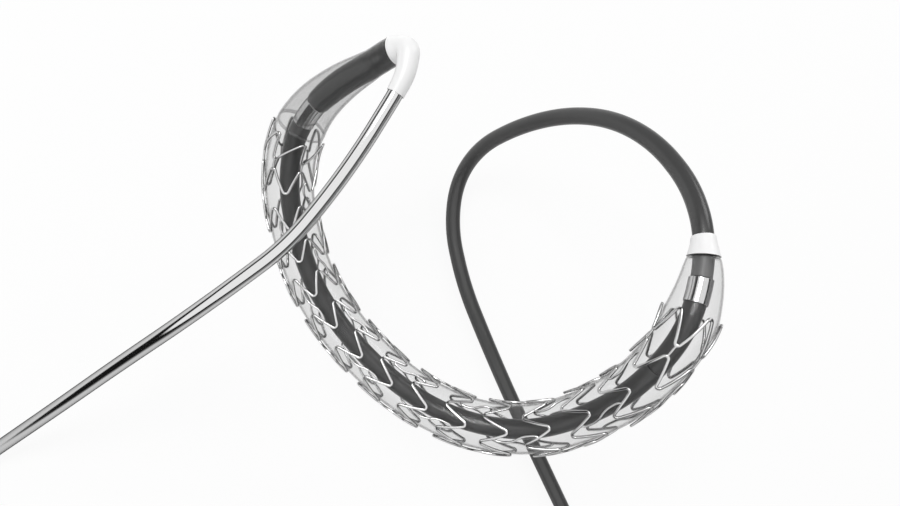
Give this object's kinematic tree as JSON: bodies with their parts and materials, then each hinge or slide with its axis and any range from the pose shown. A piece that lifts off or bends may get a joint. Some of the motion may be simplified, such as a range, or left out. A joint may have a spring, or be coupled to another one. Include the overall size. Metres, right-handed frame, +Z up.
{
  "type": "vascular stent on balloon catheter",
  "caption": "Balloon-expandable vascular stent on the inflated balloon of its catheter, with marker bands, a soft tip and a steel guidewire, in a loose double loop.",
  "frame": {"origin": "middle of the bounding box on the plane the object lies on", "axes": "+X along the longest extent, towards the cut end of the shaft, +Y across the loops towards the soft tip, +Z up from the plane"},
  "size_m": [0.047, 0.0396, 0.0232],
  "materials": {
    "polished_metal": "polished",
    "clear_film": "clear",
    "shaft_polymer": "gloss",
    "wire_steel": "polished",
    "white_polymer": "satin",
    "marker_metal": "polished",
    "sleeve_polymer": "gloss"
  },
  "bodies": {
    "root": {"stent": "polished_metal", "balloon": "clear_film", "outer_shaft": "shaft_polymer", "inner_tube": "shaft_polymer", "guidewire": "wire_steel", "bond_collar": "white_polymer", "marker_band_proximal": "marker_metal", "marker_band_distal": "marker_metal", "seat_sleeve_short": "sleeve_polymer", "seat_sleeve_long": "sleeve_polymer", "distal_sleeve": "sleeve_polymer", "tip": "white_polymer"}
  },
  "joints": []
}
